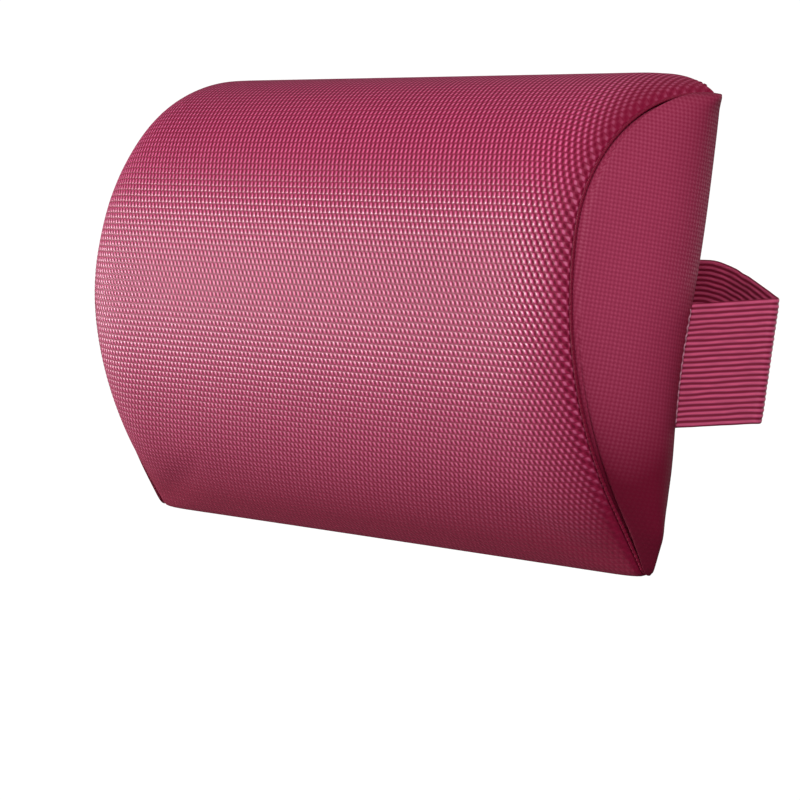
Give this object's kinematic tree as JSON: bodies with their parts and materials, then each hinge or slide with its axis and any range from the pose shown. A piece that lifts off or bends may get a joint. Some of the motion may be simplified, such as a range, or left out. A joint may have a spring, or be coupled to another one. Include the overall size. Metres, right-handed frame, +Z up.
{
  "type": "recliner headrest cushion",
  "caption": "D-section headrest cushion in a sewn woven-mesh cover with a wide ribbed elastic strap that loops behind it to hold it on a reclining chair's back.",
  "frame": {"origin": "centre of the cushion's flat back face, on its outer surface", "axes": "+X along the cushion to its right end as seen from the front, +Y out of the back face towards the chair, +Z up with the fuller edge on top"},
  "size_m": [0.4318, 0.1134, 0.2059],
  "materials": {
    "cover_mesh": "wine red coarse basket-weave coated mesh, slight sheen on the yarns",
    "strap_elastic": "wine red ribbed elastic webbing, satin",
    "sewing_thread": "dark wine red sewing thread",
    "foam": "off-white open-cell foam"
  },
  "bodies": {
    "cushion": {"foam_core": "foam", "front_panel": "cover_mesh", "back_panel": "cover_mesh", "right_end_panel": "cover_mesh", "left_end_panel": "cover_mesh", "strap_right_near_run": "strap_elastic", "strap_left_near_run": "strap_elastic", "right_end_seam_thread": "sewing_thread", "left_end_seam_thread": "sewing_thread", "right_side_seam_thread": "sewing_thread", "left_side_seam_thread": "sewing_thread", "top_seam_thread": "sewing_thread", "lower_seam_thread": "sewing_thread", "right_strap_tack": "sewing_thread", "left_strap_tack": "sewing_thread"},
    "strap": {"strap_right_fold": "strap_elastic", "strap_left_fold": "strap_elastic", "strap_right_far_run": "strap_elastic", "strap_left_far_run": "strap_elastic", "strap_back_run": "strap_elastic"}
  },
  "joints": [
    {"name": "strap_pull", "type": "slide", "parent": "cushion", "child": "strap", "axis": [0, 1, 0], "range_m": [-0.025, 0.05], "stiffness_N_per_m": 250, "deforming": ["strap_right_near_run", "strap_left_near_run"]}
  ]
}
